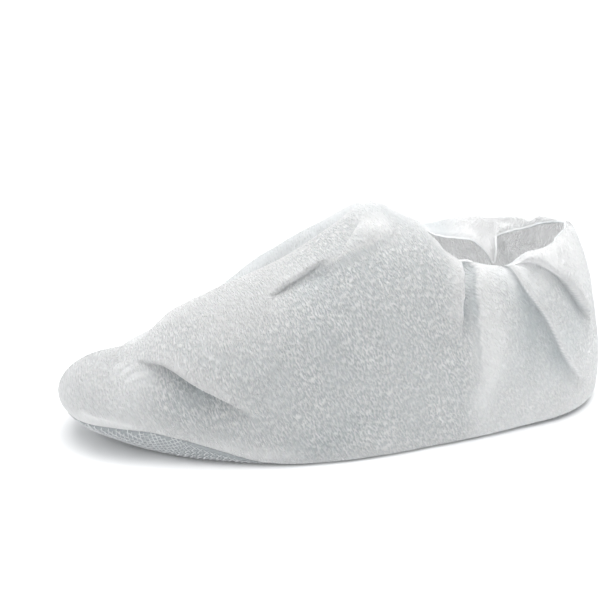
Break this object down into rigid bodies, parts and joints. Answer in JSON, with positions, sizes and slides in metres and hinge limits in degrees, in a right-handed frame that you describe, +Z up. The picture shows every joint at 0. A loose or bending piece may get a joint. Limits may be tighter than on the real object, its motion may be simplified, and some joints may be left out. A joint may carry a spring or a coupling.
{
  "type": "disposable shoe cover",
  "caption": "Low disposable shoe cover of white non-woven cloth with folded side panels, a gathered elastic ankle opening and a grey anti-slip sole, standing open and empty.",
  "frame": {"origin": "on the floor under the middle of the overall box", "axes": "+X towards the heel, -X towards the toe, -Y the wearer's left side as the toe points ahead, +Z up"},
  "size_m": [0.3338, 0.139, 0.1405],
  "materials": {
    "upper_cloth": "matt white embossed non-woven",
    "hem_cloth": "matt white gathered non-woven over elastic",
    "sole_cloth": "grey coated cloth with a raised anti-slip grid"
  },
  "bodies": {
    "root": {"left_panel": "upper_cloth", "right_panel": "upper_cloth", "sole": "sole_cloth", "elastic_hem": "hem_cloth"}
  },
  "joints": []
}
